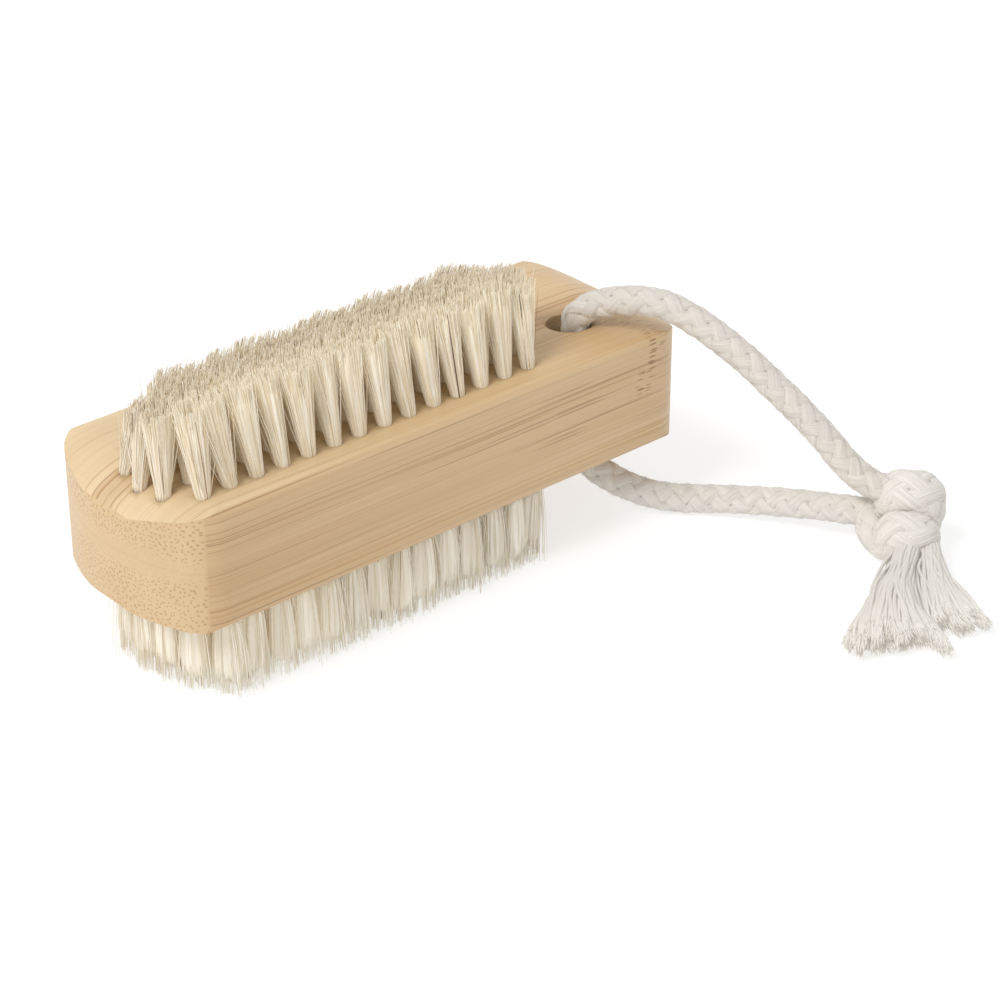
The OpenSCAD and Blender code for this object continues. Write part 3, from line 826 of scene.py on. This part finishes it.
# Bristles
GAP_LIGHT, TIP_LIGHT = (1.0, 0.88, 0.68), (0.90, 0.98, 0.96)
DARK_HAIRS = [(0.0, (0.03, 0.02, 0.014)), (0.0012, (0.08, 0.045, 0.025)), (0.005, (0.40, 0.24, 0.13))]
UP_TONES = [
    (0.014, (0.64, 0.52, 0.35)), (0.04, (0.73, 0.62, 0.45)), (0.2, (0.82, 0.72, 0.55)),
    (0.6, (0.88, 0.80, 0.66)), (1.0, (0.93, 0.885, 0.79)),
]
# painted light: the lower rows get a paler copy of the bristle colours, for the shade under the block and the
# light the white floor throws up
LOW_LIT_TONES = [
    (0.014, (0.66, 0.56, 0.41)), (0.04, (0.74, 0.66, 0.51)), (0.2, (0.80, 0.745, 0.63)),
    (0.6, (0.87, 0.82, 0.72)), (1.0, (0.92, 0.89, 0.82)),
]


def bristle_material(name, tones, tip, share, glow):
    """Hair whose colour follows the tone of each hair, and whose tips are tinted.

    share is the light that passes through. glow, at the plain end, the cord end and added at the
    tips of the near side, stands for light that scatters among the hairs."""
    n = Nodes(name)
    col = n.ramp(n.attr("tone"), DARK_HAIRS + tones)
    streak = n.noise(n.scale(n.coords(), (2200.0, 2200.0, 260.0)), 1.0, 2.0, 0.5)
    col = n.mix(n.remap(streak, 0.35, 0.7, 0.0, 0.25), col, n.times(col, (0.86, 0.79, 0.64)))
    col = n.mix(n.remap(n.attr("along"), 0.8, 1.0, 0.0, 0.35), col, n.times(col, tip))
    n.set("Base Color", col)
    n.set("Roughness", n.remap(streak, 0.3, 0.7, 0.38, 0.46))
    n.set("Specular IOR Level", 0.3)
    n.bump(streak, 0.15, 0.00003)
    n.let_through(col, share)
    px, py, _ = n.split(n.coords())
    near_tips = n.mul(n.remap(n.attr("along"), 0.5, 1.0), n.remap(py, -0.0035, -0.0085))
    n.set("Emission Color", n.times(col, n.mix(near_tips, GAP_LIGHT, TIP_LIGHT)))
    n.set("Emission Strength", n.add(n.remap(px, -0.045, 0.02, glow[0], glow[1]), n.mul(near_tips, glow[2])))
    return n.mat


upper_bristle = bristle_material("bristle", UP_TONES, (0.76, 0.71, 0.62), 0.06, (0.055, 0.04, 0.12))
# the lower rows' paler copy of the bristle, painted light
lit_lower_bristle = bristle_material("bristle_lower_lit", LOW_LIT_TONES, (1.0, 0.99, 0.97), 0.04, (0.10, 0.02, 0.03))

HOLE_SIDES = 24
HOLE = ((1.13, 0.0), (1.08, 0.1), (1.06, 0.5), (1.05, 2.2))  # radius and depth of the hole's rings
ROOT_R = 0.99  # of a tuft in its hole
ROOT_DEPTH = 1.5
HAIR_AT = np.array([0.0, 0.1, 0.2, 0.4, 0.7, 1.0])  # where a hair has its points
CORE_AT = np.array([0.0, 0.1, 0.25, 0.42, 0.58, 0.7, 0.8, 0.87, 0.9])
CORE_FULL = np.array([1.0, 1.0, 1.0, 1.0, 0.99, 0.96, 0.86, 0.55, 0.04])
CORE_SIDES, LOCKS = 32, 9


def top_height(px):
    """Height of the block's upper face at x, in mm."""
    run = np.maximum(np.abs(px) - (BLOCK_L / 2 - ROUND_L), 0.0)
    return TOP - (FLAT_R - np.sqrt(np.maximum(FLAT_R**2 - run**2, 0.0)))


def slice_mesh(xs, py, upper):
    """One row's drilled strip with its holes: points and quads."""
    edges = np.concatenate([[xs[0] - SLICE_END], (xs[1:] + xs[:-1]) / 2, [xs[-1] + SLICE_END]])
    n = HOLE_SIDES
    a = circle(n) + np.pi / n
    c, s = np.cos(a), np.sin(a)
    j = np.arange(n)
    jn = (j + 1) % n
    verts, quads, base = [], [], 0
    for i, at in enumerate(xs):
        x0, x1 = edges[i] - at, edges[i + 1] - at
        hx = np.where(c > 0, x1, -x0)
        k = np.minimum(hx / np.maximum(np.abs(c), 1e-6), (SLICE_W / 2) / np.maximum(np.abs(s), 1e-6))
        ox, oy = at + k * c, py + k * s
        # the nearest points go to the corners of the cell, so that neighbours meet
        for cx, cy in ((x0, -1), (x0, 1), (x1, -1), (x1, 1)):
            corner = np.argmin((ox - at - cx) ** 2 + (oy - py - cy * SLICE_W / 2) ** 2)
            ox[corner], oy[corner] = at + cx, py + cy * SLICE_W / 2
        rings = [(ox, oy, 0.0)] + [(at + rad * c, py + rad * s, down) for rad, down in HOLE]
        for rx, ry, down in rings:
            zz = top_height(rx) - down if upper else np.full(n, BASE + down)
            verts.append(np.stack([rx, ry, zz], -1))
        for r in range(len(rings) - 1):
            ring, nxt = base + r * n, base + (r + 1) * n
            qd = np.stack([ring + j, ring + jn, nxt + jn, nxt + j], -1)
            quads.append(qd if not upper else qd[:, ::-1])
        base += n * len(rings)
    return np.concatenate(verts), np.concatenate(quads)


def opened_at(t, opening):
    """How far a tuft has opened at a share of its length: not at all inside its hole."""
    return np.clip((t - 0.1) / 0.9, 0, 1) ** opening


def tuft_tips(xs, y_tip, tops, sway, r):
    """Where the middle of each tuft ends, and how wide it opens."""
    n = len(xs)
    away = 2 * np.arange(n) / (n - 1) - 1
    tip = np.stack([xs + sway * away**5 + r.normal(0, 0.3, n), y_tip + r.normal(0, 0.22, n), tops], -1)
    return tip, r.uniform(0.88, 1.1, n)


def tuft_hairs(xs, y_root, z_root, tip, fan, per, spread, short, opening, loose, r):
    """Hairs of one row: middle lines, radii and tones."""
    n = len(xs) * per
    tuft = np.repeat(np.arange(len(xs)), per)
    a = r.uniform(0, 2 * np.pi, n)
    # most hairs lie on the outside of the middle
    d = np.where(r.uniform(0, 1, n) < 0.62, r.uniform(0.93, 1.03, n), np.sqrt(r.uniform(0, 1, n)))
    ux, uy = d * np.cos(a), d * np.sin(a)
    # hairs gather in a few locks a tuft, which shows at their tips
    la, ld = r.uniform(0, 2 * np.pi, (len(xs), LOCKS)), np.sqrt(r.uniform(0.05, 1, (len(xs), LOCKS)))
    lx, ly = ld * np.cos(la), ld * np.sin(la)
    pick = np.argmin((lx[tuft] - ux[:, None]) ** 2 + (ly[tuft] - uy[:, None]) ** 2, axis=1)
    hold = r.uniform(0.0, 0.4, n)
    tx = ux + hold * (lx[tuft, pick] - ux)
    ty = uy + hold * (ly[tuft, pick] - uy)
    stray_x = (r.uniform(0, 1, n) < loose) * r.normal(0, 1.0, n)
    stray_y = (r.uniform(0, 1, n) < loose) * r.normal(0, 0.8, n)
    f = fan[tuft]
    root = np.stack([xs[tuft] + ROOT_R * ux, y_root + ROOT_R * uy, np.full(n, z_root)], -1)
    end_x = spread[0] * f * tx + r.normal(0, 0.12, n) + stray_x
    end_y = spread[1] * f * ty + r.normal(0, 0.12, n) + stray_y
    end = tip[tuft] + np.stack([end_x, end_y, short], -1)
    t = HAIR_AT
    bow = np.stack([ux * r.uniform(-0.08, 0.08, n) + r.normal(0, 0.07, n), r.normal(0, 0.07, n)], -1)
    c = root[:, None] * (1 - t)[None, :, None] + end[:, None] * t[None, :, None]
    c[..., :2] += ((end - root)[:, None] * (opened_at(t, opening) - t)[None, :, None])[..., :2]
    c[..., :2] += bow[:, None] * (4 * t * (1 - t))[None, :, None]
    rad = r.uniform(0.05, 0.086, n)[:, None] * np.interp(t, [0, 0.6, 1], [1.0, 0.95, 0.55])[None, :]
    return c, rad, r.uniform(0, 1, n)


def tuft_cores(xs, y_root, z_root, tip, fan, spread, opening, full, r):
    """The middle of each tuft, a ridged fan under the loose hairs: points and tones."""
    n, m, at = len(xs), len(CORE_AT), CORE_AT
    root = np.stack([xs, np.full(n, y_root), np.full(n, z_root)], -1)
    mid = root[:, None] * (1 - at)[None, :, None] + tip[:, None] * at[None, :, None]
    ring = circle(CORE_SIDES)
    ridge = 1 + 0.04 * np.where(np.arange(CORE_SIDES) % 2, 1, -1) + r.normal(0, 0.05, (n, 1, CORE_SIDES))
    opened = opened_at(at, opening)
    mid[..., :2] += ((tip - root)[:, None] * (opened - at)[None, :, None])[..., :2]
    wide, deep = (
        (ROOT_R * (1 - opened) + s * opened)[None, :, None] * fan[:, None, None] ** at[None, :, None]
        for s in spread)
    k = full * CORE_FULL[None, :, None] * ridge
    v = np.stack(
        [mid[..., 0:1] + wide * k * np.cos(ring), mid[..., 1:2] + deep * k * np.sin(ring),
         mid[..., 2:3] + r.normal(0, 0.25, (n, 1, CORE_SIDES)) * at[None, :, None]], -1)
    tone = np.broadcast_to(r.uniform(0.12, 0.9, (n, 1, CORE_SIDES)), (n, m, CORE_SIDES))
    return v.reshape(-1, 3), tone.ravel()


def row_piece(name, strip, hairs, cores, tufts, seed, cloth):
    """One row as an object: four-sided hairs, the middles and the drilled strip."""
    c, rad, hair_tones = hairs
    core_verts, core_tones = cores
    strip_verts, strip_quads = strip
    n, m = rad.shape
    ang = np.random.default_rng(seed).uniform(0, np.pi, n)
    flat = np.zeros((n, m))
    cos, sin = np.cos(ang)[:, None] * rad, np.sin(ang)[:, None] * rad
    g = tube_grid(c, np.stack([cos, sin, flat], -1), np.stack([-sin, cos, flat], -1), 4).reshape(-1, 3)
    v, q, _ = join([
        (g, np.concatenate([tube_quads(n, m, 4), cap_quads(n, m)])),
        (core_verts, tube_quads(tufts, len(CORE_AT), CORE_SIDES)), (strip_verts, strip_quads)])
    tones = np.concatenate([np.repeat(hair_tones, m * 4), core_tones, np.ones(len(strip_verts))])
    along = np.concatenate([
        np.tile(np.repeat(HAIR_AT, 4), n), np.tile(np.repeat(CORE_AT, CORE_SIDES), tufts),
        np.zeros(len(strip_verts))])
    o = make_mesh(name, v, q, attrs={"tone": tones, "along": along})
    o.data.materials.append(cloth)
    o.data.materials.append(wood.mat)
    slots = np.zeros(len(q), np.int32)
    slots[-len(strip_quads):] = 1
    o.data.polygons.foreach_set("material_index", slots)
    return o


def shorter(r, n, most, often, least, deepest):
    """How far each hair ends below the tips of its tuft."""
    return np.abs(r.normal(0, most, n)) + (r.uniform(0, 1, n) < often) * r.uniform(least, deepest, n)


UP_PER = 215
LOW_PER = 170
UP_SPREAD, LOW_SPREAD = (2.35, 1.9), (2.6, 2.4)  # half widths of a tuft's tip along and across the row
UP_ROOT_Z, LOW_ROOT_Z = TOP - ROOT_DEPTH, BASE + ROOT_DEPTH
UP_OPENING, LOW_OPENING = 1.0, 0.33
UP_LOOSE, LOW_LOOSE = 0.11, 0.32  # share of the hairs that stray
UP_PACKED, LOW_PACKED = 0.97, 1.0
# the tufts at both ends of a row stand lower and lean towards its middle
for k in range(5):
    r = np.random.default_rng(200 + k)
    xs = np.linspace(UP_FROM[k], UP_TO[k], UP_COUNT[k])
    n = len(xs)
    tops = UP_TIP_Z[k] - np.abs(r.normal(0, 0.3, n))
    tops[-1] -= 1.6
    tops[0] -= 1.0
    tip, fan = tuft_tips(xs, UP_TIP_Y[k], tops, 0.8, r)
    tip[0] += (1.6, 0, 0) if k < 3 else (1.1, -0.6, -1.4)
    short = -shorter(r, n * UP_PER, 0.45, 0.06, 0.5, 3.0)
    hairs = tuft_hairs(xs, UP_Y[k], UP_ROOT_Z, tip, fan, UP_PER, UP_SPREAD, short, UP_OPENING, UP_LOOSE, r)
    cores = tuft_cores(xs, UP_Y[k], UP_ROOT_Z, tip, fan, UP_SPREAD, UP_OPENING, UP_PACKED, r)
    strip = slice_mesh(xs, UP_Y[k], True)
    o = row_piece(f"upper_tufts_{k + 1}", strip, hairs, cores, n, 7 + k, upper_bristle)
    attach(o, "root")
    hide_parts(f"upper_row_{k + 1}")
for k in range(7):
    r = np.random.default_rng(400 + k)
    xs = np.linspace(LOW_FROM[k], LOW_TO[k], LOW_COUNT[k])
    n = len(xs)
    tip, fan = tuft_tips(xs, LOW_Y[k], np.zeros(n), 0.0, r)
    tip[-1] -= (1.5, 0, 0)
    tip[0] += (0.9, 0, 0)
    short = shorter(r, n * LOW_PER, 0.4, 0.08, 0.3, 2.2)
    hairs = tuft_hairs(
        xs, LOW_Y[k], LOW_ROOT_Z, tip, fan, LOW_PER, LOW_SPREAD, short, LOW_OPENING, LOW_LOOSE, r)
    cores = tuft_cores(xs, LOW_Y[k], LOW_ROOT_Z, tip, fan, LOW_SPREAD, LOW_OPENING, LOW_PACKED, r)
    strip = slice_mesh(xs, LOW_Y[k], False)
    o = row_piece(f"lower_tufts_{k + 1}", strip, hairs, cores, n, 27 + k, lit_lower_bristle)
    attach(o, "root")
    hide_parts(f"lower_row_{k + 1}")

# Floor, light and background
FLOOR_HALF = 4000  # mm
AMBIENT, BACKDROP = 0.76, 1.0  # the light that the scene gets from all round, and the white that is seen
floor_mat = Nodes("floor_white")
grain = floor_mat.noise(floor_mat.coords(), 30.0, 2.0)
floor_mat.set("Base Color", floor_mat.ramp(grain, [(0.0, (0.45, 0.45, 0.45)), (1.0, (0.46, 0.46, 0.46))]))
floor_mat.set("Roughness", 0.95)
floor_mat.set("Specular IOR Level", 0.05)
# part of the white is its own, so the shadow stays faint
floor_mat.set("Emission Color", (1.0, 1.0, 1.0, 1.0))
floor_mat.set("Emission Strength", 0.60)
corners = [(sx * FLOOR_HALF, sy * FLOOR_HALF, 0) for sx, sy in ((-1, -1), (1, -1), (1, 1), (-1, 1))]
floor = make_mesh("floor", corners, [[0, 1, 2, 3]], smooth=False)
floor.data.materials.append(floor_mat.mat)

world = bpy.data.worlds.new("world")
scene.world = world
world.use_nodes = True
tree = world.node_tree
tree.nodes.clear()


def white_light(strength):
    """Plain white light from all round."""
    n = tree.nodes.new("ShaderNodeBackground")
    n.inputs[0].default_value = (1.0, 1.0, 1.0, 1.0)
    n.inputs[1].default_value = strength
    return n.outputs[0]


def either(a, b):
    """1 where one of two flags is 1."""
    n = tree.nodes.new("ShaderNodeMath")
    n.operation = "MAXIMUM"
    tree.links.new(a, n.inputs[0])
    tree.links.new(b, n.inputs[1])
    return n.outputs[0]


# rays that see the background directly, in a gloss or through the hairs find plain white
rays = tree.nodes.new("ShaderNodeLightPath").outputs
seen = either(either(rays["Is Camera Ray"], rays["Is Glossy Ray"]), rays["Is Transmission Ray"])
choice = tree.nodes.new("ShaderNodeMixShader")
for socket, source in zip(choice.inputs, (seen, white_light(AMBIENT), white_light(BACKDROP))):
    tree.links.new(source, socket)
tree.links.new(choice.outputs[0], tree.nodes.new("ShaderNodeOutputWorld").inputs[0])

sun_data = bpy.data.lights.new("soft_sun", "SUN")
sun_data.energy = 1.6
sun_data.angle = 0.45
sun = bpy.data.objects.new("soft_sun", sun_data)
sun.rotation_euler = (math.radians(41), 0.0, math.radians(-88))
scene.collection.objects.link(sun)

scene.view_settings.view_transform = "Standard"
